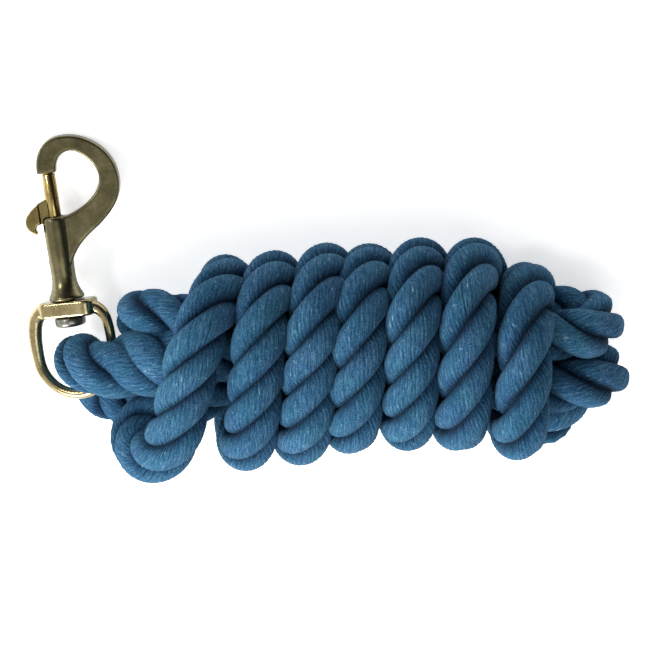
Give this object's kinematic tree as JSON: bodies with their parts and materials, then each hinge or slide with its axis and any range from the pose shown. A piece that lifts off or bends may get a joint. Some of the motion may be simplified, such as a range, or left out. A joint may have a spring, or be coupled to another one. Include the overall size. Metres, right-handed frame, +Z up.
{
  "type": "lead rope",
  "caption": "Thick three-strand cotton lead rope wound into a wrapped hank, with a brass swivel bolt snap held in its eye.",
  "frame": {"origin": "under the middle of the part's box, on the surface that the hank lies on", "axes": "+X along the hank, from the snap's end to the two bights; +Z up, out of the surface; +Y the way the hook points"},
  "size_m": [0.1956, 0.1072, 0.063],
  "materials": {
    "rope": "matte",
    "whipping": "matte",
    "cast_brass": "satin",
    "polished_brass": "polished",
    "knob_brass": "satin",
    "eye_brass": "polished",
    "rivet_steel": "satin",
    "spring_steel": "satin"
  },
  "bodies": {
    "rope": {"rope_hank": "rope", "rope_eye": "rope", "rope_tail": "rope", "end_whipping": "whipping"},
    "eye": {"swivel_eye": "eye_brass"},
    "snap": {"snap_body": "cast_brass", "swivel_rivet": "rivet_steel", "bolt_spring": "spring_steel"},
    "plunger": {"bolt": "polished_brass", "thumb_knob": "knob_brass"}
  },
  "joints": [
    {"name": "eye_swing", "type": "hinge", "parent": "rope", "child": "eye", "pos_m": [-0.06982, -0.01898, 0.01985], "axis": [0.1815, 0.9825, -0.0414], "range_deg": [0, 75]},
    {"name": "swivel", "type": "hinge", "parent": "eye", "child": "snap", "pos_m": [-0.0846, 0.00068, 0.01185], "axis": [-0.1423, 0.9757, -0.1668], "continuous": true},
    {"name": "bolt_slide", "type": "slide", "parent": "snap", "child": "plunger", "axis": [0.1423, -0.9757, 0.1668], "range_m": [0, 0.011], "stiffness_N_per_m": 400, "springref_m": -0.004, "deforming": ["bolt_spring"]}
  ]
}
